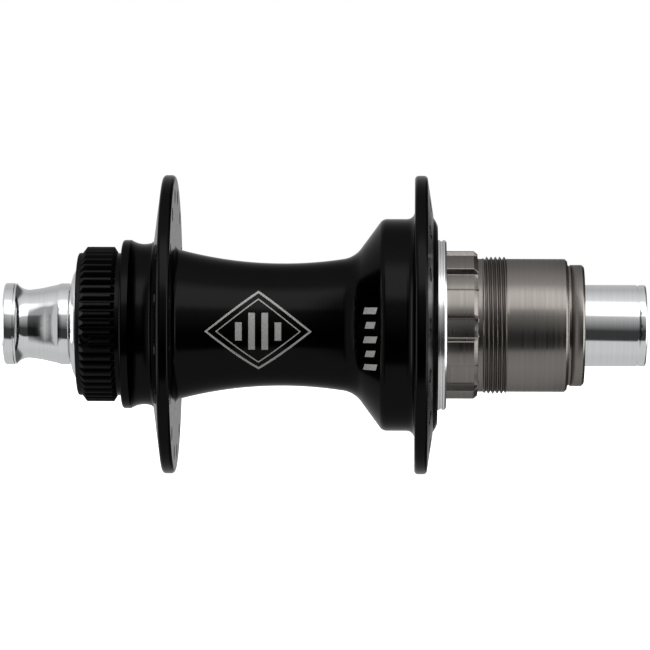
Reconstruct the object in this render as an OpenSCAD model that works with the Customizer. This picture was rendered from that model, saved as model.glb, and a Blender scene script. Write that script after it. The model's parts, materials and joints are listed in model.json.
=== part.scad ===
// Rear bicycle hub for a disc brake and a 12 mm thru axle: one-piece shell with a splined rotor
// mount, a pawl freehub with a threaded cassette driver, four cartridge bearings and push-on
// end caps. The hub's axis is X, the brake side is at -X, the drive side is at +X and +Z is up.
// Angles about the axis run from +Y towards +Z.

/* [Overall] */
// Width over the end caps, which is the gap between the dropouts
hub_w = 148; // [147:0.5:150]
// Diameter of the bore that the thru axle passes through
thru_bore_d = 12.1; // [12.05:0.05:12.2]
// Diameter of the end caps where they sit in the dropouts
cap_d = 18.8; // [18.5:0.1:18.9]
// Smallest diameter of the neck of the brake-side end cap
cap_neck_d = 15.76; // [15.6:0.02:16]

/* [Flanges] */
// Diameter of both spoke flanges
flange_d = 69; // [68:0.5:71]
// Diameter of the circle of spoke holes
spoke_pcd = 60; // [59:0.5:61]
// Spoke holes in each flange
spoke_n = 16; // [14:1:18]
// Diameter of a spoke hole
spoke_hole_d = 2.6; // [2.4:0.1:2.7]
// Inboard face of the brake-side flange
left_flange_x = -34.5; // [-35:0.1:-34]
// Inboard face of the drive-side flange
right_flange_x = 20.7; // [20.5:0.1:21]

/* [Shell] */
// Diameter of the waist, the thinnest part of the barrel
waist_d = 28.32; // [27.6:0.02:29]
// Place of the waist along the axis
waist_x = -9.75; // [-12:0.25:-8]
// Radius of the hollow curve along the barrel
barrel_curve_r = 92.5; // [88:0.5:98]
// Diameter of the drum around the ratchet
drum_d = 48.98; // [48:0.02:50]
// Diameter of the collar behind the brake rotor
rotor_stop_d = 38.96; // [38:0.02:40]

/* [Rotor spline] */
// Teeth around the rotor spline
spline_n = 52; // [48:1:54]
// Diameter at the foot of the spline teeth
spline_root_d = 32.9; // [32.6:0.1:33.2]
// Diameter at the tip of the spline teeth
spline_tip_d = 35.74; // [35.4:0.02:36]
// Bore for the rotor's lockring thread
lockring_bore_d = 29; // [28.8:0.1:29.4]

/* [Preload collar] */
// Outside diameter of the preload collar
collar_d = 25; // [24:0.1:26]
// Diameter of the collar's set screw
set_screw_d = 3; // [2.5:0.1:3.5]
// Angle of the set screw and of its access hole about the axis
set_screw_angle = 191.6; // [0:0.1:360]

/* [Freehub] */
// Diameter over the driver's spline lugs
lug_d = 34.3; // [34:0.1:34.6]
// Diameter of the valleys between the lugs
valley_d = 31.8; // [31.4:0.1:32.2]
// Diameter of the driver's long barrel
barrel_d = 30.72; // [30.4:0.02:30.8]
// Diameter over the cassette thread
thread_d = 31.68; // [31.5:0.02:31.9]
// Pitch of the cassette thread
thread_pitch = 1; // [0.8:0.1:1]
// Turns of the cassette thread
thread_turns = 5; // [3:1:6]
// Diameter of the driver's tail
tail_d = 28; // [27.6:0.1:28.4]

/* [Ratchet] */
// Teeth inside the ratchet ring
ratchet_n = 48; // [36:12:60]
// Diameter at the tips of the ratchet teeth
ratchet_tip_d = 35.4; // [35.2:0.1:35.6]
// Diameter at the roots of the ratchet teeth
ratchet_root_d = 37.4; // [37.2:0.1:38]
// Angle at which a folded pawl leans out
pawl_fold = 13.4; // [12:0.1:13.6]

/* [Bearings] */
// Bore of all four bearings
bearing_bore_d = 15; // [14.8:0.1:15]
// Outside diameter of the shell's bearings
hub_bearing_d = 28; // [27.8:0.1:28]
// Width of the shell's bearings
hub_bearing_w = 7; // [6.8:0.1:7]
// Ball diameter in the shell's bearings
hub_ball_d = 3.96; // [3.8:0.02:4]
// Balls in each of the shell's bearings
hub_ball_n = 11; // [9:1:11]
// Outside diameter of the freehub's bearings
free_bearing_d = 24; // [23.8:0.1:24]
// Width of the freehub's bearings
free_bearing_w = 5; // [4.8:0.1:5]
// Ball diameter in the freehub's bearings
free_ball_d = 2.38; // [2.2:0.02:2.4]
// Balls in each of the freehub's bearings
free_ball_n = 15; // [12:1:16]

/* [Hidden] */
$fn = 96;

// Radii of the driving diameters
thru_r = thru_bore_d / 2;
cap_r = cap_d / 2;
flange_r = flange_d / 2;
waist_r = waist_d / 2;
drum_r = drum_d / 2;
rotor_stop_r = rotor_stop_d / 2;
spline_root_r = spline_root_d / 2;
spline_tip_r = spline_tip_d / 2;
lockring_r = lockring_bore_d / 2;
collar_r = collar_d / 2;
lug_r = lug_d / 2;
valley_r = valley_d / 2;
barrel_r = barrel_d / 2;
thread_r = thread_d / 2;
tail_r = tail_d / 2;
ratchet_tip_r = ratchet_tip_d / 2;
ratchet_root_r = ratchet_root_d / 2;
axle_r = bearing_bore_d / 2;

// Slip clearance of a bore over the axle, and a length that runs a cut past a face
slip = 0.05;
past = 1;

// Stations along the axis
cap_left_x = -hub_w / 2;
cap_right_x = hub_w / 2;
axle_left_x = -63.5;
axle_right_x = 68;
left_cap_in_x = -58.9;
collar_out_x = -58.7;
collar_step_x = -52;
set_screw_x = -54.5;
shell_left_x = -56.95;
shell_right_x = 26;
left_bearing_x = -49.6;
right_bearing_x = 6;
nose_x = 14;
ring_x0 = 15;
ring_x1 = 23.5;
inner_free_x = 24;
cover_x0 = 25.75;
lugs_x0 = 28;
lugs_x1 = 35.2;
thread_x = 36.8;
outer_free_x = 53.4;
tail_x = 55.8;
free_end_x = 59.7;

// Shoulders of the axle, spacers and bearings
axle_mid_r = 8.9;
spacer_r = 9;
left_seat_end_x = left_bearing_x + hub_bearing_w;
right_seat_end_x = right_bearing_x + hub_bearing_w;
inner_free_end_x = inner_free_x + free_bearing_w;
outer_free_end_x = outer_free_x + free_bearing_w;
cavity_r = 12.2;
nose_r = 17.2;
seal_land_r = 17.9;
cover_r = 19.65;
ring_seat_r = 20.5;
seal_seat_r = 21.5;

// Pawls: places about the axis, pivot circle, knuckle and width
PAWL_ANGLES = [90, 210, 330];
pawl_pivot_r = 14.6;
knuckle_r = 1.7;
pawl_x0 = 15.5;
pawl_x1 = 22.5;
pocket_floor = -1.9;
spring_t = 0.25;

// The spline lugs sit unevenly, so that the sprockets go on in one position only
LUG_ANGLES = [162, 121, 79, 32, -15, -62, -108, -157];
lug_tip_half_w = 2.95;
lug_foot_half_w = 3.9;

// Turns an outline of [station, radius] points about the hub's axis
module turned(points)
    rotate([0, 90, 0])
        rotate_extrude()
            polygon([for (p = points) [p[1], p[0]]]);

// Extrudes a drawing from station x0 to x1: its x is the hub's Y and its y is the hub's Z
module along_axis(x0, x1)
    translate([x0, 0, 0])
        rotate([90, 0, 90])
            linear_extrude(x1 - x0)
                children();

// Plain tube between two stations
module tube(x0, x1, outer, inner)
    turned([[x0, inner], [x0, outer], [x1, outer], [x1, inner]]);

// Plain ring of round section
module round_ring(x, ring_r, section_r)
    translate([x, 0, 0])
        rotate([0, 90, 0])
            rotate_extrude()
                translate([ring_r, 0])
                    circle(section_r);

// Points of an arc about a centre, in n steps
function arc(cx, cy, r, a0, a1, n = 6) =
    [for (i = [0:n]) let (a = a0 + (a1 - a0) * i / n) [cx + r * cos(a), cy + r * sin(a)]];

// Point at radius r and angle a
function polar(r, a) = [r * cos(a), r * sin(a)];

// ---- Shell ----

// Height of the centre of a fillet of radius f at station x that runs smoothly into the barrel
function barrel_fillet_y(x, f) =
    waist_r + barrel_curve_r - sqrt(pow(barrel_curve_r - f, 2) - pow(x - waist_x, 2));

// Angle at which such a fillet meets the barrel
function barrel_fillet_angle(x, f) =
    180 + atan2(waist_r + barrel_curve_r - barrel_fillet_y(x, f), waist_x - x);

rim_r = 0.9;
left_fillet_r = 1.4;
left_fillet_x = left_flange_x + left_fillet_r;
left_fillet_angle = barrel_fillet_angle(left_fillet_x, left_fillet_r);
right_fillet_r = 6.2;
right_fillet_x = 3.35;
right_fillet_angle = barrel_fillet_angle(right_fillet_x, right_fillet_r);
shoulder_angle = 324;
drum_corner_r = 1.9;
drum_fillet_r = 1.8;
stop_x = -46.7;
stop_corner_r = 0.6;
scoop_r = 5.5;
left_rim_x = left_flange_x - 2.9;
right_rim_x = right_flange_x + 3;

function brake_end_outline() = concat(
    [[shell_left_x, 0]],
    arc(shell_left_x + 0.45, spline_root_r - 0.45, 0.45, 180, 90),
    [[stop_x, spline_root_r]],
    arc(stop_x + stop_corner_r, rotor_stop_r - stop_corner_r, stop_corner_r, 180, 90),
    arc(stop_x + 5, rotor_stop_r + 4.58, scoop_r, 236.3, 289, 12),
    arc(stop_x + 6.4, rotor_stop_r + 0.42, 1, 292, 350));

function left_flange_outline() = concat(
    arc(left_rim_x + rim_r, flange_r - rim_r, rim_r, 172, 90),
    arc(left_flange_x - rim_r, flange_r - rim_r, rim_r, 90, 0),
    arc(left_fillet_x, barrel_fillet_y(left_fillet_x, left_fillet_r), left_fillet_r,
        180, left_fillet_angle));

function barrel_outline() = concat(
    arc(waist_x, waist_r + barrel_curve_r, barrel_curve_r,
        left_fillet_angle, right_fillet_angle, 40),
    arc(right_fillet_x, barrel_fillet_y(right_fillet_x, right_fillet_r), right_fillet_r,
        right_fillet_angle, shoulder_angle, 12));

function drum_outline() = concat(
    arc(right_flange_x - 6.4, drum_r - drum_corner_r, drum_corner_r, 144, 90),
    arc(right_flange_x - drum_fillet_r, drum_r + drum_fillet_r, drum_fillet_r, 270, 360));

function right_flange_outline() = concat(
    arc(right_flange_x + rim_r, flange_r - rim_r, rim_r, 180, 90),
    arc(right_rim_x - rim_r, flange_r - rim_r, rim_r, 90, 0),
    [[shell_right_x - 1.05, 25.4], [shell_right_x - 1.05, 24.9], [shell_right_x - 0.4, 23.85],
     [shell_right_x, 22.9], [shell_right_x, 0]]);

// Space inside the shell, from the lockring thread to the seal seat
function shell_bores() = [
    [shell_left_x - past, 0],
    [shell_left_x - past, lockring_r + 0.5],
    [shell_left_x, lockring_r + 0.5],
    [shell_left_x + 0.5, lockring_r],
    [left_bearing_x, lockring_r],
    [left_bearing_x, hub_bearing_d / 2],
    [left_seat_end_x, hub_bearing_d / 2],
    [left_seat_end_x, cavity_r],
    [right_bearing_x, cavity_r],
    [right_bearing_x, hub_bearing_d / 2],
    [right_seat_end_x, hub_bearing_d / 2],
    [right_seat_end_x, seal_land_r],
    [ring_x0, seal_land_r],
    [ring_x0, ring_seat_r],
    [ring_x1, ring_seat_r],
    [ring_x1, seal_seat_r],
    [shell_right_x + past, seal_seat_r],
    [shell_right_x + past, 0]];

spline_x0 = -56;
spline_x1 = -47.8;
tooth_tip_w = 0.5;
tooth_foot_w = 1.7;
spline_phase = 0.85;

// Teeth of the rotor spline, with both ends chamfered
module spline_teeth()
    intersection() {
        along_axis(spline_x0, spline_x1)
            for (k = [0:spline_n - 1])
                rotate(180 - spline_phase - 360 * k / spline_n)
                    polygon([[spline_root_r - 0.5, tooth_foot_w / 2],
                        [spline_root_r - 0.1, tooth_foot_w / 2],
                        [spline_tip_r, tooth_tip_w / 2],
                        [spline_tip_r, -tooth_tip_w / 2],
                        [spline_root_r - 0.1, -tooth_foot_w / 2],
                        [spline_root_r - 0.5, -tooth_foot_w / 2]]);
        turned([[spline_x0, 0], [spline_x0, spline_root_r - 0.05],
            [spline_x0 + 1.1, spline_tip_r], [spline_x1 - 0.9, spline_tip_r],
            [spline_x1, spline_root_r - 0.05], [spline_x1, 0]]);
    }

countersink = 0.4;

// One ring of spoke holes through a flange, countersunk on both faces
module spoke_holes(x0, x1, phase)
    for (k = [0:spoke_n - 1])
        rotate([90 + phase + 360 * k / spoke_n, 0, 0])
            translate([0, spoke_pcd / 2, 0])
                rotate([0, 90, 0]) {
                    translate([0, 0, x0 - past])
                        cylinder(h = x1 - x0 + 2 * past, d = spoke_hole_d, $fn = 32);
                    translate([0, 0, x0 - past])
                        cylinder(h = countersink + past, d1 = spoke_hole_d + 2 * (countersink + past),
                            d2 = spoke_hole_d, $fn = 32);
                    translate([0, 0, x1 - countersink])
                        cylinder(h = countersink + past, d1 = spoke_hole_d,
                            d2 = spoke_hole_d + 2 * (countersink + past), $fn = 32);
                }

left_web_x = left_flange_x - 3.4;
right_web_x = right_flange_x + 3.55;

module hub_shell() color([0.05, 0.05, 0.055])
    difference() {
        union() {
            turned(concat(brake_end_outline(), left_flange_outline(), barrel_outline(),
                drum_outline(), right_flange_outline()));
            spline_teeth();
        }
        turned(shell_bores());
        spoke_holes(left_web_x, left_flange_x, 180 / spoke_n);
        spoke_holes(right_flange_x, right_web_x, 0);
        // Access hole for the key of the collar's set screw
        rotate([set_screw_angle, 0, 0])
            translate([set_screw_x, lockring_r - past, 0])
                rotate([-90, 0, 0])
                    cylinder(h = spline_tip_r - lockring_r + 2 * past, d = 2.5, $fn = 32);
    }

module ratchet_ring() color([0.45, 0.45, 0.47])
    along_axis(ring_x0, ring_x1)
        difference() {
            circle(ring_seat_r);
            // Each tooth rises slowly from its root and drops off in one steep step
            polygon([for (k = [0:ratchet_n - 1])
                for (step = [0, 1])
                    polar(step == 0 ? ratchet_root_r : ratchet_tip_r,
                        69.4 + 360 * (k + step) / ratchet_n)]);
        }

module freehub_seal() color([0.03, 0.03, 0.03])
    turned([[24, seal_land_r + 0.1], [24, seal_seat_r], [25.9, seal_seat_r],
        [25.9, cover_r + 0.25], [25.6, cover_r], [25.6, seal_land_r + 0.4],
        [25.5, seal_land_r + 0.1], [25.2, seal_land_r + 0.1],
        [24.9, seal_land_r + 0.6], [24.5, seal_land_r + 0.1]]);

// ---- Axle, end caps and preload collar ----

module axle() color([0.72, 0.72, 0.74])
    turned([[axle_left_x, thru_r], [axle_left_x, axle_r - 0.4], [axle_left_x + 0.4, axle_r],
        [left_seat_end_x, axle_r], [left_seat_end_x, axle_mid_r], [right_bearing_x, axle_mid_r],
        [right_bearing_x, axle_r], [axle_right_x - 0.4, axle_r], [axle_right_x, axle_r - 0.4],
        [axle_right_x, thru_r]]);

o_ring_section_r = 0.33;
left_o_ring_x = -61.5;
right_o_ring_x = 62;
groove_r = axle_r + slip + 0.65;
neck_x = -68.4;
neck_fillet_r = 3.5;
neck_r = cap_neck_d / 2;
boss_end_x = cap_left_x + 2.4;

// Bore of an end cap: slides over the axle's end, then narrows to the thru axle's bore
module cap_bore(x_mouth, x_seat, x_end, o_ring_x) {
    past_mouth = x_mouth + sign(x_mouth - x_seat) * past;
    past_end = x_end + sign(x_end - x_seat) * past;
    turned([[past_mouth, 0], [past_mouth, axle_r + slip], [x_seat, axle_r + slip],
        [x_seat, thru_r], [past_end, thru_r], [past_end, 0]]);
    tube(o_ring_x - 0.45, o_ring_x + 0.45, groove_r, 0);
}

module left_end_cap() color([0.86, 0.86, 0.87])
    difference() {
        turned(concat(
            [[cap_left_x, 0]],
            arc(cap_left_x + 0.5, cap_r - 0.5, 0.5, 180, 90, 4),
            arc(boss_end_x - 0.3, cap_r - 0.3, 0.3, 90, 15, 4),
            arc(neck_x, neck_r + neck_fillet_r, neck_fillet_r, 215, 278, 14),
            [[-66.35, 8.11], [-65, 8.35], [-63.6, 8.68], [-62.2, 8.97], [-61.5, 9.18],
             [-61, cap_r - 0.02], [left_cap_in_x - 0.2, cap_r - 0.02],
             [left_cap_in_x, cap_r - 0.22], [left_cap_in_x, 0]]));
        cap_bore(left_cap_in_x, axle_left_x - 0.1, cap_left_x, left_o_ring_x);
    }

module left_cap_o_ring() color([0.08, 0.08, 0.08])
    round_ring(left_o_ring_x, axle_r + 0.02 + o_ring_section_r, o_ring_section_r);

mark_x = cap_right_x - 1.85;

module right_end_cap() color([0.86, 0.86, 0.87])
    difference() {
        turned(concat(
            [[outer_free_end_x, 0], [outer_free_end_x, spacer_r], [59.3, spacer_r],
             [59.3, cap_r - 0.2], [59.5, cap_r],
             [mark_x - 0.45, cap_r], [mark_x - 0.15, cap_r - 0.15],
             [mark_x + 0.15, cap_r - 0.15], [mark_x + 0.45, cap_r]],
            arc(cap_right_x - 0.5, cap_r - 0.5, 0.5, 90, 0, 4),
            [[cap_right_x, 0]]));
        cap_bore(outer_free_end_x, axle_right_x, cap_right_x, right_o_ring_x);
    }

module right_cap_o_ring() color([0.08, 0.08, 0.08])
    round_ring(right_o_ring_x, axle_r + 0.02 + o_ring_section_r, o_ring_section_r);

collar_hub_r = 9.2;

module preload_collar() color([0.84, 0.84, 0.85])
    difference() {
        turned([[collar_out_x, axle_r + slip], [collar_out_x, cap_r],
            [collar_out_x + 0.6, collar_r - 1], [collar_out_x + 1.1, collar_r - 0.1],
            [collar_out_x + 1.4, collar_r], [collar_step_x - 0.4, collar_r],
            [collar_step_x, collar_r - 0.4], [collar_step_x, collar_hub_r],
            [left_bearing_x, collar_hub_r], [left_bearing_x, axle_r + slip]]);
        rotate([set_screw_angle, 0, 0])
            translate([set_screw_x, axle_r - past, 0])
                rotate([-90, 0, 0])
                    cylinder(h = collar_r, d = set_screw_d, $fn = 48);
    }

set_screw_r0 = 7.6;
set_screw_r1 = collar_r - 0.2;
hex_key_w = 1.5;

module collar_set_screw() color([0.25, 0.25, 0.26])
    rotate([set_screw_angle, 0, 0])
        translate([set_screw_x, 0, 0])
            rotate([-90, 0, 0])
                difference() {
                    translate([0, 0, set_screw_r0])
                        cylinder(h = set_screw_r1 - set_screw_r0, d = set_screw_d, $fn = 48);
                    translate([0, 0, set_screw_r1 - 1.8])
                        cylinder(h = 1.8 + past, r = hex_key_w / sqrt(3), $fn = 6);
                }

// ---- Bearings ----

race_chamfer = 0.25;
ball_gap = 0.04;

// Sizes that both kinds of bearing are built from:
// [outside radius, width, ball radius, ball count, inner land radius, outer land radius]
HUB_BEARING = [hub_bearing_d / 2, hub_bearing_w, hub_ball_d / 2, hub_ball_n, 9.35, 12.15];
FREE_BEARING = [free_bearing_d / 2, free_bearing_w, free_ball_d / 2, free_ball_n, 9, 10.5];

function ball_circle_r(b) = (b[4] + b[5]) / 2;

// Track that the balls run in
module ball_track(x, b)
    round_ring(x + b[1] / 2, ball_circle_r(b), b[2] * (1 + ball_gap));

module inner_race(x, b) color([0.7, 0.7, 0.72])
    difference() {
        turned([[x, axle_r + race_chamfer], [x, b[4]], [x + b[1], b[4]],
            [x + b[1], axle_r + race_chamfer], [x + b[1] - race_chamfer, axle_r],
            [x + race_chamfer, axle_r]]);
        ball_track(x, b);
    }

module outer_race(x, b) color([0.7, 0.7, 0.72])
    difference() {
        turned([[x, b[5]], [x, b[0] - race_chamfer], [x + race_chamfer, b[0]],
            [x + b[1] - race_chamfer, b[0]], [x + b[1], b[0] - race_chamfer], [x + b[1], b[5]]]);
        ball_track(x, b);
    }

module balls(x, b) color([0.8, 0.8, 0.82])
    for (k = [0:b[3] - 1])
        rotate([360 * k / b[3], 0, 0])
            translate([x + b[1] / 2, ball_circle_r(b), 0])
                sphere(b[2], $fn = 32);

cage_half_t = 0.45;
cage_gap = 0.06;

// Ring with a drilled pocket for each ball
module cage(x, b) color([0.55, 0.42, 0.2])
    difference() {
        tube(x + b[1] / 2 - b[2] - 0.42, x + b[1] / 2 + b[2] + 0.42,
            ball_circle_r(b) + cage_half_t, ball_circle_r(b) - cage_half_t);
        for (k = [0:b[3] - 1])
            rotate([360 * k / b[3], 0, 0])
                translate([x + b[1] / 2, ball_circle_r(b) - 2 * cage_half_t, 0])
                    rotate([-90, 0, 0])
                        cylinder(h = 4 * cage_half_t, r = b[2] + cage_gap, $fn = 32);
    }

seal_t = 0.45;
seal_inset = 0.15;

// Two thin shields that close the gap between the races
module seals(x, b) color([0.1, 0.1, 0.12])
    for (seal_x = [x + seal_inset, x + b[1] - seal_inset - seal_t])
        tube(seal_x, seal_x + seal_t, b[5], b[4] + 0.1);

module left_bearing_inner_race() inner_race(left_bearing_x, HUB_BEARING);
module left_bearing_outer_race() outer_race(left_bearing_x, HUB_BEARING);
module left_bearing_balls() balls(left_bearing_x, HUB_BEARING);
module left_bearing_cage() cage(left_bearing_x, HUB_BEARING);
module left_bearing_seals() seals(left_bearing_x, HUB_BEARING);
module right_bearing_inner_race() inner_race(right_bearing_x, HUB_BEARING);
module right_bearing_outer_race() outer_race(right_bearing_x, HUB_BEARING);
module right_bearing_balls() balls(right_bearing_x, HUB_BEARING);
module right_bearing_cage() cage(right_bearing_x, HUB_BEARING);
module right_bearing_seals() seals(right_bearing_x, HUB_BEARING);
module inner_freehub_bearing_inner_race() inner_race(inner_free_x, FREE_BEARING);
module inner_freehub_bearing_outer_race() outer_race(inner_free_x, FREE_BEARING);
module inner_freehub_bearing_balls() balls(inner_free_x, FREE_BEARING);
module inner_freehub_bearing_cage() cage(inner_free_x, FREE_BEARING);
module inner_freehub_bearing_seals() seals(inner_free_x, FREE_BEARING);
module outer_freehub_bearing_inner_race() inner_race(outer_free_x, FREE_BEARING);
module outer_freehub_bearing_outer_race() outer_race(outer_free_x, FREE_BEARING);
module outer_freehub_bearing_balls() balls(outer_free_x, FREE_BEARING);
module outer_freehub_bearing_cage() cage(outer_free_x, FREE_BEARING);
module outer_freehub_bearing_seals() seals(outer_free_x, FREE_BEARING);

module bearing_spacer() color([0.2, 0.2, 0.22])
    tube(right_seat_end_x, inner_free_x, spacer_r, axle_r + slip);

module freehub_spacer() color([0.75, 0.75, 0.77])
    tube(inner_free_end_x, outer_free_x, spacer_r, axle_r + slip);

// ---- Freehub ----

snap_x0 = outer_free_end_x + 0.1;
snap_t = 0.7;
snap_groove_r = 12.6;
lug_chamfer_x = 34.26;

// Thread profile as ridges around the barrel
function thread_outline() = [for (k = [0:thread_turns - 1])
    for (p = [[0, barrel_r], [0.38, thread_r], [0.5, thread_r], [0.88, barrel_r]])
        [thread_x + (k + p[0]) * thread_pitch, p[1]]];

function driver_outline() = concat(
    [[nose_x, 0], [nose_x, nose_r - 0.3], [nose_x + 0.3, nose_r], [23.8, nose_r],
     [23.8, seal_land_r], [cover_x0, seal_land_r], [cover_x0, nose_r], [lugs_x0, nose_r],
     [lugs_x0, valley_r], [lugs_x1, valley_r], [lugs_x1, barrel_r]],
    thread_outline(),
    [[tail_x - 0.5, barrel_r], [tail_x, barrel_r - 0.5], [tail_x, tail_r],
     [tail_x + 0.2, tail_r], [tail_x + 0.2, tail_r - 0.2], [tail_x + 0.7, tail_r - 0.2],
     [tail_x + 0.7, tail_r], [free_end_x - 0.5, tail_r], [free_end_x, tail_r - 0.5],
     [free_end_x, 0]]);

// Lugs with sloping flanks, chamfered at their outer end
module lugs()
    intersection() {
        along_axis(lugs_x0, lugs_x1)
            for (a = LUG_ANGLES)
                rotate(a)
                    polygon([[valley_r - 2, lug_foot_half_w], [valley_r - 2, -lug_foot_half_w],
                        [lug_r, -lug_tip_half_w], [lug_r, lug_tip_half_w]]);
        turned([[lugs_x0, 0], [lugs_x0, lug_r], [lug_chamfer_x, lug_r],
            [lugs_x1, lug_r - 0.75], [lugs_x1, 0]]);
    }

// Drawing of a pawl about its pivot, which leans out by the given angle.
// a runs along the pawl to its tip and b across it.
function pawl_point(a, b, lean) =
    [pawl_pivot_r + a * sin(lean) + b * cos(lean), b * sin(lean) - a * cos(lean)];

// Pawl with its round knuckle, leaning out by the given angle
module pawl_shape(lean)
    union() {
        along_axis(pawl_x0, pawl_x1)
            polygon([for (p = [[-0.3, knuckle_r - 0.1], [6.5, 0], [6.1, -1.5],
                [-0.3, 0.1 - knuckle_r]]) pawl_point(p[0], p[1], lean)]);
        along_axis(pawl_x0, pawl_x1)
            translate([pawl_pivot_r, 0])
                circle(knuckle_r);
    }

// Pocket that holds a pawl and its spring: u runs along the pawl and v outwards
module pocket_drawing() {
    polygon([for (p = [[-1.2, 1.2], [0, 0], [0.3, pocket_floor], [7.2, pocket_floor],
        [7.6, 4.2], [-1.2, 4.2]]) [pawl_pivot_r + p[1], -p[0]]]);
    translate([pawl_pivot_r, 0])
        circle(knuckle_r + 0.08);
}

module freehub_body() color([0.42, 0.4, 0.38])
    difference() {
        union() {
            turned(driver_outline());
            lugs();
        }
        turned([[nose_x - past, 0], [nose_x - past, 9.8], [inner_free_x, 9.8],
            [inner_free_x, free_bearing_d / 2], [snap_x0, free_bearing_d / 2],
            [snap_x0, snap_groove_r], [snap_x0 + snap_t + 0.1, snap_groove_r],
            [snap_x0 + snap_t + 0.1, free_bearing_d / 2], [free_end_x + past, free_bearing_d / 2],
            [free_end_x + past, 0]]);
        for (a = PAWL_ANGLES)
            rotate([a, 0, 0])
                along_axis(pawl_x0 - 0.2, pawl_x1 + 0.2)
                    pocket_drawing();
    }

// Open ring that keeps the outer bearing in the driver
module freehub_snap_ring() color([0.3, 0.3, 0.32])
    difference() {
        tube(snap_x0, snap_x0 + snap_t, snap_groove_r - 0.1, 11.2);
        translate([snap_x0 - past, -1.5, -14])
            cube([snap_t + 2 * past, 3, 14]);
    }

// Cover ring with chamfered edges and a groove between its two lands
module seal_cover() color([0.8, 0.8, 0.8])
    turned([[cover_x0, nose_r], [cover_x0, cover_r - 0.35], [cover_x0 + 0.35, cover_r],
        [26.5, cover_r], [26.6, cover_r - 0.25], [27.1, cover_r - 0.25], [27.2, cover_r],
        [lugs_x0 - 0.4, cover_r], [lugs_x0, cover_r - 0.4], [lugs_x0, nose_r]]);

module pawl(k) color([0.35, 0.35, 0.36])
    rotate([PAWL_ANGLES[k], 0, 0])
        pawl_shape(pawl_fold);

module pawl_1() pawl(0);
module pawl_2() pawl(1);
module pawl_3() pawl(2);

spring_bend_r = 0.32;
spring_bend = [6.5, pocket_floor + spring_t / 2 + spring_bend_r];
spring_foot_u = 2;
spring_arm_len = 2.3;
// Angle on the bend at which the upper arm leaves it
spring_arm_angle = 81.7;

// Points on the side of the spring's strip that lies at radius r from the bend's centre
function spring_side(r) = concat(
    [[spring_foot_u, spring_bend[1] - r]],
    arc(spring_bend[0], spring_bend[1], r, -90, spring_arm_angle, 12),
    [spring_bend + polar(r, spring_arm_angle) + polar(spring_arm_len, spring_arm_angle + 90)]);

function reversed(points) = [for (i = [len(points) - 1:-1:0]) points[i]];

// Hairpin leaf spring under a pawl: u runs along the pawl and v outwards
module spring_drawing()
    polygon([for (p = concat(spring_side(spring_bend_r + spring_t / 2),
        reversed(spring_side(spring_bend_r - spring_t / 2)))) [pawl_pivot_r + p[1], -p[0]]]);

module pawl_spring(k) color([0.6, 0.6, 0.62])
    rotate([PAWL_ANGLES[k], 0, 0])
        along_axis(pawl_x0 + 1.5, pawl_x1 - 1.5)
            spring_drawing();

module pawl_spring_1() pawl_spring(0);
module pawl_spring_2() pawl_spring(1);
module pawl_spring_3() pawl_spring(2);

axle();
left_end_cap();
left_cap_o_ring();
right_end_cap();
right_cap_o_ring();
preload_collar();
collar_set_screw();
hub_shell();
ratchet_ring();
freehub_seal();
left_bearing_inner_race();
left_bearing_outer_race();
left_bearing_balls();
left_bearing_cage();
left_bearing_seals();
right_bearing_inner_race();
right_bearing_outer_race();
right_bearing_balls();
right_bearing_cage();
right_bearing_seals();
inner_freehub_bearing_inner_race();
inner_freehub_bearing_outer_race();
inner_freehub_bearing_balls();
inner_freehub_bearing_cage();
inner_freehub_bearing_seals();
outer_freehub_bearing_inner_race();
outer_freehub_bearing_outer_race();
outer_freehub_bearing_balls();
outer_freehub_bearing_cage();
outer_freehub_bearing_seals();
bearing_spacer();
freehub_spacer();
freehub_body();
freehub_snap_ring();
seal_cover();
pawl_1();
pawl_2();
pawl_3();
pawl_spring_1();
pawl_spring_2();
pawl_spring_3();
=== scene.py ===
"""Looks of the rear bicycle hub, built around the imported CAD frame. Units are metres unless a comment says
millimetres. The hub's axis is X."""
import json
import math

import bmesh
import bpy
from mathutils import Matrix, Vector
from mathutils.bvhtree import BVHTree


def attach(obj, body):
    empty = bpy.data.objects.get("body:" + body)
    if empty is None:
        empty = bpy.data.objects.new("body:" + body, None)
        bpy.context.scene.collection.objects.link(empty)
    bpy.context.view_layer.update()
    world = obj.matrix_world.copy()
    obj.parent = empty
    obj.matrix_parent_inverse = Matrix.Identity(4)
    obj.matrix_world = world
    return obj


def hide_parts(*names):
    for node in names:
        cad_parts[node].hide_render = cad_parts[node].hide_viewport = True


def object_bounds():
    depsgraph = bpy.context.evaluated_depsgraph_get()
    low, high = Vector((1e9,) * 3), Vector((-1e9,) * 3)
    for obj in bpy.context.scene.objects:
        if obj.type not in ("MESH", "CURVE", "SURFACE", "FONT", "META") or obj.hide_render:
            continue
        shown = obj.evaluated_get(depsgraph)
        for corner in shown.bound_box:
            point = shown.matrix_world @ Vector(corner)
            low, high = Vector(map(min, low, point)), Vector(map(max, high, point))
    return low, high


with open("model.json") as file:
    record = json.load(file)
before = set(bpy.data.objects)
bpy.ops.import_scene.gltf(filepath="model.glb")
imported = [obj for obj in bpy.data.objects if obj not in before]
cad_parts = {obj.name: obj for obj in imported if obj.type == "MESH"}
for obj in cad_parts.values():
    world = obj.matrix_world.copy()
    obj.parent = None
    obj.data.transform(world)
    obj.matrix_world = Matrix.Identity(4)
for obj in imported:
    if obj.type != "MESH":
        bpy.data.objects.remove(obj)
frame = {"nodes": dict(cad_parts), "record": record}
cad_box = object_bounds()

MM = 0.001
# Station where the rotor spline ends and the shell's smooth neck begins
SPLINE_END = -0.0478


# ---------------------------------------------------------------- node helpers

NOISE_ROUGHNESS = 0.6


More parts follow.
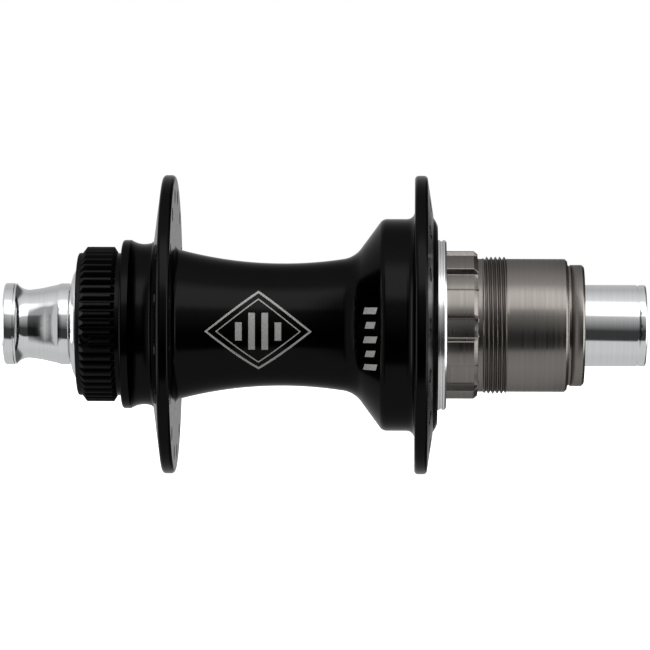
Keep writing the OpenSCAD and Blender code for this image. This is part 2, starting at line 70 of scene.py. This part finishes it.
def new_material(name):
    """A material with an empty node tree but for a Principled shader, and that shader."""
    mat = bpy.data.materials.new(name)
    mat.use_nodes = True
    tree = mat.node_tree
    tree.nodes.clear()
    out = tree.nodes.new("ShaderNodeOutputMaterial")
    shader = tree.nodes.new("ShaderNodeBsdfPrincipled")
    tree.links.new(shader.outputs["BSDF"], out.inputs["Surface"])
    return mat, shader


def maths(tree, operation, a, b=None, c=None):
    """A Math node on sockets or numbers, as its output socket."""
    node = tree.nodes.new("ShaderNodeMath")
    node.operation = operation
    for socket, value in zip(node.inputs, (a, b, c)):
        if isinstance(value, bpy.types.NodeSocket):
            tree.links.new(value, socket)
        elif value is not None:
            socket.default_value = value
    return node.outputs[0]


def ring_coordinate(tree):
    """Runs along the axis on turned sides and outwards on end faces, so that lathe marks circle the axis."""
    coord = tree.nodes.new("ShaderNodeTexCoord")
    split = tree.nodes.new("ShaderNodeSeparateXYZ")
    tree.links.new(coord.outputs["Object"], split.inputs[0])
    x, y, z = split.outputs
    squares = maths(tree, "ADD", maths(tree, "MULTIPLY", y, y), maths(tree, "MULTIPLY", z, z))
    radius = maths(tree, "SQRT", squares)
    return maths(tree, "ADD", x, radius)


def noise_1d(tree, coordinate, per_metre, detail):
    """Noise along one coordinate."""
    node = tree.nodes.new("ShaderNodeTexNoise")
    node.noise_dimensions = "1D"
    node.inputs["Scale"].default_value = per_metre
    node.inputs["Detail"].default_value = detail
    node.inputs["Roughness"].default_value = NOISE_ROUGHNESS
    tree.links.new(coordinate, node.inputs["W"])
    return node.outputs[0]


def noise_3d(tree, per_metre, detail):
    """Noise through the piece's own space."""
    coord = tree.nodes.new("ShaderNodeTexCoord")
    node = tree.nodes.new("ShaderNodeTexNoise")
    node.inputs["Scale"].default_value = per_metre
    node.inputs["Detail"].default_value = detail
    node.inputs["Roughness"].default_value = NOISE_ROUGHNESS
    tree.links.new(coord.outputs["Object"], node.inputs["Vector"])
    return node.outputs[0]


def remap(tree, value, low, high, out_low, out_high):
    """The value moved from one range to another, clamped at both ends."""
    node = tree.nodes.new("ShaderNodeMapRange")
    tree.links.new(value, node.inputs["Value"])
    ends = {"From Min": low, "From Max": high, "To Min": out_low, "To Max": out_high}
    for name, number in ends.items():
        node.inputs[name].default_value = number
    return node.outputs["Result"]


def blend_colours(tree, amount, dark, light):
    """Colour between two, by an amount from 0 to 1."""
    node = tree.nodes.new("ShaderNodeMix")
    node.data_type = "RGBA"
    tree.links.new(amount, node.inputs["Factor"])
    node.inputs["A"].default_value = (*dark, 1)
    node.inputs["B"].default_value = (*light, 1)
    return node.outputs["Result"]


def bump(tree, shader, height, depth):
    """Fine relief on a shader's normal."""
    node = tree.nodes.new("ShaderNodeBump")
    node.inputs["Strength"].default_value = 1.0
    node.inputs["Distance"].default_value = depth
    tree.links.new(height, node.inputs["Height"])
    tree.links.new(node.outputs["Normal"], shader.inputs["Normal"])


# ---------------------------------------------------------------- materials

# The part of a noise's range that its values mostly fall in
NOISE_SPAN = (0.3, 0.7)


def turned_metal(name, dark, light, rough, rings_per_metre, ring_depth, rough_spread=0.06, smear=0.7,
                 edge=1.0):
    """Lathe-turned metal: fine rings about the axis in colour, gloss and relief, which smear reflections
    endways. Edge is how bright it stays at grazing angles."""
    mat, shader = new_material(name)
    tree = mat.node_tree
    around = tree.nodes.new("ShaderNodeTangent")
    around.direction_type = "RADIAL"
    around.axis = "X"
    tree.links.new(around.outputs[0], shader.inputs["Tangent"])
    shader.inputs["Anisotropic"].default_value = smear
    shader.inputs["Anisotropic Rotation"].default_value = 0.25
    coordinate = ring_coordinate(tree)
    rings = noise_1d(tree, coordinate, rings_per_metre, 5.0)
    broad = noise_1d(tree, coordinate, rings_per_metre / 9, 2.0)
    shader.inputs["Metallic"].default_value = 1.0
    colour = blend_colours(tree, remap(tree, rings, *NOISE_SPAN, 0, 1), dark, light)
    gloss = remap(tree, broad, *NOISE_SPAN, rough - rough_spread, rough + rough_spread)
    tree.links.new(colour, shader.inputs["Base Color"])
    tree.links.new(gloss, shader.inputs["Roughness"])
    shader.inputs["Specular Tint"].default_value = (edge, edge, edge, 1)
    bump(tree, shader, rings, ring_depth)
    return mat


def black_anodised():
    """Dyed oxide over turned aluminium, with little extra shine at grazing angles. The cut spline is
    duller and paler."""
    mat, shader = new_material("black_anodised_aluminium")
    tree = mat.node_tree
    grain = noise_3d(tree, 900, 5.0)
    rings = noise_1d(tree, ring_coordinate(tree), 1600, 4.0)
    coord = tree.nodes.new("ShaderNodeTexCoord")
    split = tree.nodes.new("ShaderNodeSeparateXYZ")
    tree.links.new(coord.outputs["Object"], split.inputs[0])
    on_spline = maths(tree, "LESS_THAN", split.outputs[0], SPLINE_END)
    fading = maths(tree, "MULTIPLY_ADD", on_spline, 0.8, maths(tree, "MULTIPLY", grain, 0.2))
    tree.links.new(blend_colours(tree, fading, (0.0088, 0.0088, 0.0091), (0.021, 0.021, 0.0215)),
                   shader.inputs["Base Color"])
    polish = remap(tree, grain, *NOISE_SPAN, 0.14, 0.19)
    tree.links.new(maths(tree, "MULTIPLY_ADD", on_spline, 0.3, polish), shader.inputs["Roughness"])
    shader.inputs["Metallic"].default_value = 1.0
    shader.inputs["Specular Tint"].default_value = (0.6, 0.6, 0.6, 1)
    bump(tree, shader, rings, 0.0000008)
    return mat


def moulded(name, dark, light, rough, specular):
    """Rubber or moulded plastic: matt, finely grained."""
    mat, shader = new_material(name)
    tree = mat.node_tree
    grain = noise_3d(tree, 2500, 4.0)
    tree.links.new(blend_colours(tree, grain, dark, light), shader.inputs["Base Color"])
    tree.links.new(remap(tree, grain, *NOISE_SPAN, rough - 0.06, rough + 0.06), shader.inputs["Roughness"])
    shader.inputs["Specular IOR Level"].default_value = specular
    bump(tree, shader, grain, 0.000008)
    return mat


def etched_aluminium():
    """Bare metal where the black oxide has been burnt off, finely stippled."""
    mat, shader = new_material("etched_aluminium")
    tree = mat.node_tree
    grain = noise_3d(tree, 5000, 3.0)
    speckle = remap(tree, grain, 0.35, 0.65, 0, 1)
    tree.links.new(blend_colours(tree, speckle, (0.4, 0.4, 0.39), (0.66, 0.66, 0.64)),
                   shader.inputs["Base Color"])
    tree.links.new(remap(tree, grain, *NOISE_SPAN, 0.5, 0.65), shader.inputs["Roughness"])
    shader.inputs["Metallic"].default_value = 0.2
    bump(tree, shader, grain, 0.000004)
    return mat


# By material slot: metals as dark and light colour, roughness, rings per metre and their depth
MATERIALS = {
    "etched_aluminium": etched_aluminium(),
    "black_anodised": black_anodised(),
    "polished_aluminium": turned_metal(
        "polished_aluminium", (0.84, 0.85, 0.86), (0.93, 0.94, 0.95), 0.1, 2600, 0.0000015, 0.02, smear=0.3),
    "satin_aluminium": turned_metal(
        "satin_aluminium", (0.84, 0.84, 0.84), (0.93, 0.93, 0.93), 0.2, 3000, 0.000001, 0.03,
        smear=0.3, edge=0.8),
    "machined_aluminium": turned_metal(
        "machined_aluminium", (0.62, 0.63, 0.64), (0.78, 0.79, 0.8), 0.3, 2400, 0.000004),
    "titanium": turned_metal(
        "turned_titanium", (0.235, 0.218, 0.203), (0.31, 0.288, 0.268), 0.31, 9000, 0.0000012, edge=0.5),
    "hardened_steel": turned_metal(
        "hardened_steel", (0.25, 0.25, 0.26), (0.4, 0.4, 0.41), 0.28, 3000, 0.000002),
    "spring_steel": turned_metal(
        "spring_steel", (0.45, 0.45, 0.47), (0.6, 0.6, 0.62), 0.22, 3000, 0.000001),
    "blackened_steel": turned_metal(
        "blackened_steel", (0.04, 0.04, 0.055), (0.1, 0.1, 0.13), 0.4, 3000, 0.000002),
    "bearing_steel": turned_metal(
        "bearing_steel", (0.55, 0.56, 0.57), (0.7, 0.71, 0.72), 0.14, 4000, 0.000001),
    "bearing_balls": turned_metal(
        "bearing_ball_steel", (0.66, 0.67, 0.68), (0.72, 0.73, 0.74), 0.06, 500, 0.0000002, 0.02),
    "cage_plastic": moulded("nylon_cage", (0.26, 0.16, 0.07), (0.4, 0.26, 0.12), 0.5, 0.4),
    "bearing_seal": moulded("bearing_seal_rubber", (0.008, 0.008, 0.012), (0.02, 0.02, 0.028), 0.5, 0.35),
    "rubber": moulded("moulded_rubber", (0.008, 0.008, 0.008), (0.02, 0.02, 0.02), 0.6, 0.3),
}


def dress_cad_nodes():
    """Gives every CAD node the material of its slot."""
    slots = {row["node"]: row["material_slot"] for row in frame["record"]["subparts"]}
    for name, obj in frame["nodes"].items():
        obj.data.materials.clear()
        obj.data.materials.append(MATERIALS[slots[name]])


dress_cad_nodes()


# ---------------------------------------------------------------- pieces

# Edges that turn more than this, in degrees, stay sharp
SHARP_ANGLE = 28
# Corners of a mesh that lie nearer than this are joined
WELD = 0.000001


def piece(name, mesh, body, material):
    """A new visible piece that rides on a body, smooth but for its real edges."""
    mesh.materials.clear()
    mesh.materials.append(material)
    mesh.shade_smooth()
    mesh.set_sharp_from_angle(angle=math.radians(SHARP_ANGLE))
    obj = bpy.data.objects.new(name, mesh)
    bpy.context.scene.collection.objects.link(obj)
    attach(obj, body)
    return obj


def polar(x, r, degrees):
    """Point at station x and radius r, in millimetres. The angle runs from +Y towards +Z, as in the CAD."""
    a = math.radians(degrees)
    return Vector((x, r * math.cos(a), r * math.sin(a))) * MM


def rounded(points, radius, steps=4):
    """An open outline with each inner corner rounded off, up to a third of the way along its sides."""
    out = [Vector(points[0])]
    for before, corner, after in zip(points, points[1:], points[2:]):
        before, corner, after = Vector(before), Vector(corner), Vector(after)
        start = corner + (before - corner).normalized() * min(radius, (before - corner).length / 3)
        end = corner + (after - corner).normalized() * min(radius, (after - corner).length / 3)
        for i in range(steps + 1):
            t = i / steps
            out.append(start * (1 - t) ** 2 + corner * 2 * t * (1 - t) + end * t ** 2)
    return out + [Vector(points[-1])]


def joined_copy(node):
    """A copy of a CAD node's mesh whose faces share their corners, as booleans and smoothing need."""
    mesh = frame["nodes"][node].data.copy()
    bm = bmesh.new()
    bm.from_mesh(mesh)
    bmesh.ops.remove_doubles(bm, verts=bm.verts, dist=WELD)
    bm.to_mesh(mesh)
    bm.free()
    return mesh


def tube_mesh(name, stations, angles, radius, bore):
    """Closed tube about the axis whose outer radius is radius(row, angle) and whose bore is plain."""
    bm = bmesh.new()
    rows = [[bm.verts.new(polar(x, radius(i, a), a)) for a in angles] for i, x in enumerate(stations)]
    for x in (stations[-1], stations[0]):
        rows.append([bm.verts.new(polar(x, bore, a)) for a in angles])
    for row, following in zip(rows, rows[1:] + rows[:1]):
        for k in range(len(angles)):
            bm.faces.new((row[k - 1], row[k], following[k], following[k - 1]))
    bmesh.ops.recalc_face_normals(bm, faces=bm.faces)
    mesh = bpy.data.meshes.new(name)
    bm.to_mesh(mesh)
    bm.free()
    return mesh


def combined(mesh, steps):
    """The mesh after a row of boolean steps, each (operation, other mesh)."""
    obj = bpy.data.objects.new("work", mesh)
    bpy.context.scene.collection.objects.link(obj)
    others = []
    for operation, other in steps:
        tool = bpy.data.objects.new("tool", other)
        bpy.context.scene.collection.objects.link(tool)
        others.append(tool)
        modifier = obj.modifiers.new(operation, "BOOLEAN")
        modifier.operation = operation
        modifier.solver = "EXACT"
        modifier.object = tool
    bpy.context.view_layer.update()
    result = bpy.data.meshes.new_from_object(obj.evaluated_get(bpy.context.evaluated_depsgraph_get()))
    for extra in (obj, *others):
        bpy.data.objects.remove(extra)
    return result


# The driver, in millimetres and degrees.
# Lugs of the cassette spline: angles of their centres, and the outline from a lug's crown down its
# flank to the valley, as distances round the axis at the mean radius and radii
LUG_ANGLES = (162, 121, 79, 32, -15, -62, -108, -157)
LUG_MEAN_R = 16.5
LUG_R, VALLEY_R, BARREL_R = 17.15, 15.9, 15.36
CROWN_HALF, FOOT_HALF, VALLEY_EDGE = 2.926, 3.58, 5.2
FLANK_ROUNDING = 0.22
LUG_FLANK = rounded([(0, LUG_R), (CROWN_HALF, LUG_R), (FOOT_HALF, VALLEY_R), (VALLEY_EDGE, VALLEY_R)],
                    FLANK_ROUNDING)
VALLEY_STEPS = 10
# Stations where the lugs start, where the chamfer at their end starts, and where they end
LUG_START, LUG_CHAMFER, LUG_END = 28.0, 34.26, 35.2
LUG_CHAMFER_DROP = 0.75
CROWN_ROUNDING = 0.12
# Stations along the lugs, closer together near the seal cover, where the shading needs them
LUG_ROWS = (28.06, 28.15, 28.4, 29, 30.5, 32, 33, 33.6, 33.9)
# How far a valley's hollow end reaches back from the lugs' end, and how steeply it falls
RUN_OUT, RUN_OUT_SLOPE = 0.9, 0.5
NECK = 0.4

# Cassette thread: right-handed, with a long run-in and a short run-out. THREAD_FOOT is from the middle of
# a crest to its flank's foot and THREAD_FLANK is the flank's length, both along the axis
THREAD_START, THREAD_END = 36.1, 41.85
THREAD_PITCH, THREAD_CREST, THREAD_ROOT = 1.0, 15.84, 15.2
THREAD_PHASE = 0.05
THREAD_RUN_IN, THREAD_RUN_OUT = 1.1, 0.12
THREAD_FOOT, THREAD_FLANK = 0.46, 0.4
THREAD_STEP = 0.05

# Barrel and tail. The tail stops 0.005 mm short of the CAD's end face, since faces in one plane leave
# doubled edges after the union
TAIL_R, GROOVE_R = 14, 13.8
TAIL_OUTLINE = ((42.6, BARREL_R), (48, BARREL_R), (55.22, BARREL_R), (55.3, 15.33), (55.8, 14.86),
                (55.8, TAIL_R), (56, TAIL_R), (56, GROOVE_R), (56.5, GROOVE_R), (56.5, TAIL_R),
                (59.1, TAIL_R), (59.2, 13.97), (59.695, 13.5))

# The CAD's driver is cut back to a core, and a sleeve with the finer shape is joined on over it. The
# sleeve's bore and its start lie inside the CAD's metal
SLEEVE_BORE_R = 13.2
CORE_R = SLEEVE_BORE_R + 0.1
SLEEVE_START = LUG_START - 0.1
CUT_START = LUG_START - 0.03
CUT_END, CUT_R = 61, 19


def lug_angles_about():
    """Angles round the axis that follow every lug's flanks, with a few more over crowns and valleys."""
    angles = set()
    for centre in LUG_ANGLES:
        for side in (-1, 1):
            for distance, _ in LUG_FLANK:
                angles.add(round((centre + side * math.degrees(distance / LUG_MEAN_R)) % 360, 3))
        for spread in (3, 6):
            angles |= {(centre + spread) % 360, (centre - spread) % 360}
    for low, high in valleys():
        width = high - low
        angles |= {round((low + width * k / VALLEY_STEPS) % 360, 3) for k in range(1, VALLEY_STEPS)}
    return sorted(angles)


def valleys():
    """First and last angle of each valley between two lugs."""
    edge = math.degrees(LUG_FLANK[-2][0] / LUG_MEAN_R)
    centres = sorted(LUG_ANGLES)
    return [(low + edge, high - edge) for low, high in zip(centres, centres[1:] + [centres[0] + 360])]


def lug_radius(degrees):
    """Radius of the spline's section at an angle."""
    away = min(abs((degrees - centre + 180) % 360 - 180) for centre in LUG_ANGLES)
    distance = math.radians(away) * LUG_MEAN_R
    for (d0, r0), (d1, r1) in zip(LUG_FLANK, LUG_FLANK[1:]):
        if distance <= d1:
            return r0 + (r1 - r0) * max(0, distance - d0) / (d1 - d0)
    return VALLEY_R


def run_out(x, degrees):
    """Radius of a valley's end, where the cutter has left a round hollow, or the lugs' elsewhere."""
    for low, high in valleys():
        across = ((degrees - low) % 360) / (high - low) * 2 - 1
        if across < 1:
            edge = LUG_END - RUN_OUT * math.sqrt(max(0, 1 - across ** 2))
            return VALLEY_R - max(0, x - edge) * RUN_OUT_SLOPE
    return LUG_R


def thread_radius(x, degrees):
    """Radius of the barrel with its thread."""
    depth = max(0, min(1, (x - THREAD_START) / THREAD_RUN_IN, (THREAD_END - x) / THREAD_RUN_OUT))
    turn = (x - THREAD_PHASE - degrees / 360) / THREAD_PITCH
    off_crest = abs((turn + 0.5) % 1 - 0.5) * THREAD_PITCH
    height = max(0, min(1, (THREAD_FOOT - off_crest) / THREAD_FLANK))
    return BARREL_R + depth * (THREAD_ROOT - BARREL_R + (THREAD_CREST - THREAD_ROOT) * height)


def threaded_driver():
    """The driver with a true helical thread and rounded lugs, in place of the CAD's plain ones."""
    crown = rounded([(SLEEVE_START, LUG_R), (LUG_CHAMFER, LUG_R), (LUG_END, LUG_R - LUG_CHAMFER_DROP),
                     (LUG_END, BARREL_R)], CROWN_ROUNDING)
    lug_rows = sorted(crown[:-1] + [Vector((x, LUG_R)) for x in LUG_ROWS], key=lambda p: p.x)
    outline = [(p.x, p.y, "lugs") for p in lug_rows]
    outline += [(x, BARREL_R, "barrel") for x in (LUG_END, LUG_END + NECK)]
    thread_rows = round((THREAD_END - THREAD_START) / THREAD_STEP)
    outline += [(THREAD_START + THREAD_STEP * k, THREAD_CREST, "thread") for k in range(thread_rows + 1)]
    outline += [(x, r, "barrel") for x, r in TAIL_OUTLINE]

    def radius(row, degrees):
        x, limit, kind = outline[row]
        if kind == "lugs":
            return min(lug_radius(degrees), limit, run_out(x, degrees))
        return thread_radius(x, degrees) if kind == "thread" else limit

    sleeve = tube_mesh("sleeve", [x for x, _, _ in outline], lug_angles_about(), radius, SLEEVE_BORE_R)
    cutter = tube_mesh("cutter", [CUT_START, CUT_END], range(0, 360, 4), lambda row, degrees: CUT_R, CORE_R)
    mesh = combined(joined_copy("freehub_body"), [("DIFFERENCE", cutter), ("UNION", sleeve)])
    driver = piece("threaded_driver", mesh, "freehub", MATERIALS["titanium"])
    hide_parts("freehub_body")


threaded_driver()


def smooth_turned_part(node, name, body, slot):
    """A CAD part whose turned profile mirrors as one smooth curve, in place of the CAD's short cones."""
    part = piece(name, joined_copy(node), body, MATERIALS[slot])
    flats = part.modifiers.new("flats", "WEIGHTED_NORMAL")
    flats.keep_sharp = True
    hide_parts(node)


smooth_turned_part("left_end_cap", "left_cap_polished", "axle_assembly", "polished_aluminium")
smooth_turned_part("right_end_cap", "right_cap_polished", "axle_assembly", "polished_aluminium")


# Shell marks: plain figures of flat bands burnt into the black oxide, lying on the metal's surface
MARK_LIFT = 0.000045
MARK_DEPTH = 0.00004
# Rays to the shell's surface start outside its flanges
RAY_START_R = 0.06
# Radius that turns a height round the front into an angle, until a ray has found the true one
FIRST_GUESS_R = 0.02


def shell_surface():
    """Finds points of the shell's outer surface: station x, and height s round the front, in millimetres."""
    shell = frame["nodes"]["hub_shell"]
    tree = BVHTree.FromObject(shell, bpy.context.evaluated_depsgraph_get())

    def point(x, s, lift):
        radius = FIRST_GUESS_R
        for _ in range(3):
            angle = s * MM / radius
            outward = Vector((0, -math.cos(angle), math.sin(angle)))
            start = Vector((x * MM, 0, 0)) + outward * RAY_START_R
            hit = tree.ray_cast(start, -outward)[0]
            radius = math.hypot(hit.y, hit.z)
        return hit + outward * lift

    return point


def mark(name, bands):
    """One mark made of bands. A band is two outlines of as many points, [(x, s), ...], with metal
    between them."""
    surface = shell_surface()
    bm = bmesh.new()
    for inner, outer in bands:
        sides = ((inner, -MARK_DEPTH), (outer, -MARK_DEPTH), (outer, MARK_LIFT), (inner, MARK_LIFT))
        layers = [[bm.verts.new(surface(x, s, lift)) for x, s in side] for side, lift in sides]
        closed = inner[0] == inner[-1]
        for layer, following in zip(layers, layers[1:] + layers[:1]):
            for k in range(len(layer) - 1):
                bm.faces.new((layer[k], layer[k + 1], following[k + 1], following[k]))
        if not closed:
            bm.faces.new([layer[0] for layer in layers])
            bm.faces.new([layer[-1] for layer in reversed(layers)])
    bmesh.ops.remove_doubles(bm, verts=bm.verts, dist=WELD)
    bmesh.ops.recalc_face_normals(bm, faces=bm.faces)
    mesh = bpy.data.meshes.new(name)
    bm.to_mesh(mesh)
    bm.free()
    piece(name, mesh, "shell", MATERIALS["etched_aluminium"])


def lozenge(x, s, width, height, steps=24):
    """Closed outline of a lozenge about a centre."""
    corners = [(x - width / 2, s), (x, s + height / 2), (x + width / 2, s), (x, s - height / 2)]
    return [(a[0] + (b[0] - a[0]) * k / steps, a[1] + (b[1] - a[1]) * k / steps)
            for a, b in zip(corners, corners[1:] + corners[:1]) for k in range(steps)] + [corners[0]]


def frame_band(x, s, width, height, line):
    """Band that runs round a lozenge."""
    return lozenge(x, s, width - 2.5 * line, height - 2.5 * line), lozenge(x, s, width, height)


def bar(x, s, width, height, lean=0.0, steps=12):
    """Bar that is width wide along the axis, height high round it, and leans endways."""
    up = [k / steps - 0.5 for k in range(steps + 1)]
    low = [(x - width / 2 + lean * t, s + height * t) for t in up]
    return low, [(a + width, b) for a, b in low]


def shell_marks():
    """A plain emblem on the waist and a row of bars on the drive-side cone. Sizes are in millimetres."""
    waist_x, waist_s = -15, -1.6
    emblem = [frame_band(waist_x, waist_s, 24.5, 19.5, 0.55), frame_band(waist_x, waist_s, 19.5, 15.5, 0.3)]
    for x, height in ((-4.5, 4.2), (-1.5, 8.6), (1.5, 8.6), (4.5, 4.2)):
        emblem.append(bar(waist_x + x, waist_s, 1.5, height))
    mark("waist_emblem", emblem)
    cone_x, top_s, spacing = 10.6, 3.2, 3.3
    widths = (2.9, 2.1, 2.9, 2.1, 2.9)
    mark("cone_bars", [bar(cone_x, top_s - spacing * k, width, 1.5, 0.4) for k, width in enumerate(widths)])


shell_marks()


# ---------------------------------------------------------------- studio

# The studio round the hub's axis, as (degrees, brightness): 0 degrees is the camera's side, 90 straight up.
# Rounded from a fit to the light and dark bands that the photo shows on the metal
STUDIO_BANDS = (
    (-180, 0.55), (-100, 0.55),          # back of the room, low
    (-80, 0.6), (-46, 0.6),              # pale table in front of the hub
    (-42, 0.04), (-15, 0.04),            # dark room on the camera's side
    (25, 0.5), (32, 1.8), (60, 1.9),     # ceiling edge, then the softbox over the camera
    (75, 0.75), (120, 0.45), (180, 0.55))  # ceiling and back of the room
BRIGHTEST = 3.0
# Cards and lamps at the ends, as the part of a direction that lies along the axis: where each begins,
# and where it is full
LEFT_CARD = (-0.42, -0.52)
LEFT_CARD_BRIGHTNESS = 0.55
LEFT_LAMP = (-0.84, -0.93)
RIGHT_LAMP = (0.84, 0.93)
# The room is darker behind the drive side and in front of the brake side: along times across, where the
# shade begins and where it is full
CORNER = (0.1, 0.22)
CORNER_SHADE = 0.18


def studio_world():
    """Softbox, pale sweep and dark camera side, reflected in the metal as bands about the hub's axis, with
    a card and lamps out at the ends. The camera itself sees plain white."""
    world = bpy.data.worlds.new("studio")
    bpy.context.scene.world = world
    world.use_nodes = True
    tree = world.node_tree
    tree.nodes.clear()
    coord = tree.nodes.new("ShaderNodeTexCoord")
    split = tree.nodes.new("ShaderNodeSeparateXYZ")
    tree.links.new(coord.outputs["Generated"], split.inputs[0])
    angle = maths(tree, "ARCTAN2", split.outputs[2], maths(tree, "MULTIPLY", split.outputs[1], -1.0))
    place = maths(tree, "MULTIPLY_ADD", angle, 0.5 / math.pi, 0.5)
    ramp = tree.nodes.new("ShaderNodeValToRGB")
    tree.links.new(place, ramp.inputs["Fac"])
    stops = ramp.color_ramp.elements
    while len(stops) < len(STUDIO_BANDS):
        stops.new(0.5)
    for stop, (degrees, grey) in zip(stops, STUDIO_BANDS):
        stop.position = degrees / 360 + 0.5
        stop.color = (*[grey / BRIGHTEST] * 3, 1)
    along, across, _ = split.outputs
    shade = remap(tree, maths(tree, "MULTIPLY", along, across), *CORNER, 1, CORNER_SHADE)
    left_card = remap(tree, along, *LEFT_CARD, 0, LEFT_CARD_BRIGHTNESS / BRIGHTEST)
    left_lamp = remap(tree, along, *LEFT_LAMP, 0, 1)
    right_lamp = remap(tree, along, *RIGHT_LAMP, 0, 1)
    lit = maths(tree, "MAXIMUM", maths(tree, "MULTIPLY", ramp.outputs["Color"], shade), left_card)
    lit = maths(tree, "MAXIMUM", lit, maths(tree, "MAXIMUM", left_lamp, right_lamp))
    path = tree.nodes.new("ShaderNodeLightPath")
    seen = tree.nodes.new("ShaderNodeMix")
    tree.links.new(path.outputs["Is Camera Ray"], seen.inputs["Factor"])
    tree.links.new(lit, seen.inputs["A"])
    seen.inputs["B"].default_value = 1 / BRIGHTEST
    background = tree.nodes.new("ShaderNodeBackground")
    background.inputs["Strength"].default_value = BRIGHTEST
    tree.links.new(seen.outputs["Result"], background.inputs["Color"])
    out = tree.nodes.new("ShaderNodeOutputWorld")
    tree.links.new(background.outputs[0], out.inputs["Surface"])


def studio_floor():
    """Pale floor just under the flanges. It is left out of the reflections, which the world gives."""
    half = 6.0
    z = cad_box[0].z - 0.5 * MM
    corners = [(-half, -half, z), (half, -half, z), (half, half, z), (-half, half, z)]
    mesh = bpy.data.meshes.new("studio_floor")
    mesh.from_pydata(corners, [], [(0, 1, 2, 3)])
    floor = bpy.data.objects.new("studio_floor", mesh)
    bpy.context.scene.collection.objects.link(floor)
    mat, shader = new_material("pale_floor")
    grain = noise_3d(mat.node_tree, 40, 3.0)
    mat.node_tree.links.new(blend_colours(mat.node_tree, grain, (0.8, 0.8, 0.8), (0.84, 0.84, 0.84)),
                            shader.inputs["Base Color"])
    shader.inputs["Roughness"].default_value = 0.9
    shader.inputs["Emission Color"].default_value = (1, 1, 1, 1)
    shader.inputs["Emission Strength"].default_value = 0.92
    floor.data.materials.append(mat)
    floor.visible_glossy = False
    floor.visible_diffuse = False


# The photo doesn't fix the camera's distance: 0.9 m fitted it as well as 1.05 m
CAMERA_DISTANCE = 1.05
CAMERA_X = 0.019
# Degrees
CAMERA_ROLL = 0.19
# How far under the axis the camera aims
AIM_DROP = 0.00006
FRAME_WIDTH = 0.1503
SENSOR_MM = 36


def photo_camera():
    """Level with the axis, a little to the drive side, framing the hub from end to end."""
    camera = bpy.data.objects.new("camera", bpy.data.cameras.new("camera"))
    bpy.context.scene.collection.objects.link(camera)
    place = Vector((CAMERA_X, -CAMERA_DISTANCE, 0))
    aim = (Vector((0, 0, -AIM_DROP)) - place).to_track_quat("-Z", "Y").to_matrix().to_4x4()
    roll = Matrix.Rotation(math.radians(CAMERA_ROLL), 4, "Z")
    camera.matrix_world = Matrix.Translation(place) @ aim @ roll
    camera.data.sensor_width = SENSOR_MM
    camera.data.lens = SENSOR_MM * place.length / FRAME_WIDTH
    camera.data.clip_end = 50
    bpy.context.scene.camera = camera


studio_world()
studio_floor()
photo_camera()
bpy.context.scene.view_settings.view_transform = "Standard"
